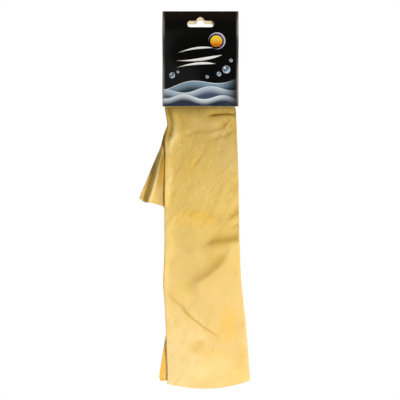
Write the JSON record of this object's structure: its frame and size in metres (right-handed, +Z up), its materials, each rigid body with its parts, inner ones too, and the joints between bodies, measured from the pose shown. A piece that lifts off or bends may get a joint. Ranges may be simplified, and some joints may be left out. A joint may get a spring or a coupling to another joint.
{
  "type": "chamois leather",
  "caption": "Soft yellow chamois drying leather folded lengthwise and gripped by a glossy card sleeve with a hanging slot; it hangs on a display peg and pulls down out of the sleeve.",
  "frame": {"origin": "top of the euro slot in the header card, where the display peg bears", "axes": "+Z up, the way it hangs; +X to the right of the printed front; +Y into the back, away from the viewer"},
  "size_m": [0.1319, 0.0142, 0.4522],
  "materials": {
    "card": "black printed board with a gloss laminate",
    "glue": "dried white glue film",
    "chamois": "oil-tanned suede on both faces, soft nap"
  },
  "bodies": {
    "header_card": {"header_sleeve": "card", "top_glue": "glue", "lap_glue": "glue"},
    "skin_top": {"leather_neck": "chamois", "leather_mouth_bend": "chamois"},
    "skin_drop": {"leather_drop": "chamois", "leather_mid_bend": "chamois", "leather_flap_bend": "chamois"},
    "skin_tail": {"leather_tail": "chamois"},
    "side_flap": {"leather_flap": "chamois"}
  },
  "joints": [
    {"name": "pull_out", "type": "slide", "parent": "header_card", "child": "skin_top", "axis": [0, 0, -1], "range_m": [0, 0.075]},
    {"name": "mouth_bend", "type": "hinge", "parent": "skin_top", "child": "skin_drop", "pos_m": [0, 0, -0.127], "axis": [1, 0, 0], "range_deg": [-90, 90], "deforming": ["leather_mouth_bend"]},
    {"name": "main_crease", "type": "hinge", "parent": "skin_drop", "child": "skin_tail", "pos_m": [0, 0, -0.271], "axis": [1, 0, 0], "range_deg": [-120, 120], "deforming": ["leather_mid_bend"]},
    {"name": "flap_fold", "type": "hinge", "parent": "skin_drop", "child": "side_flap", "pos_m": [-0.0466, 0.0018, -0.185], "axis": [0, 0, 1], "range_deg": [-150, 80], "deforming": ["leather_flap_bend"]}
  ]
}
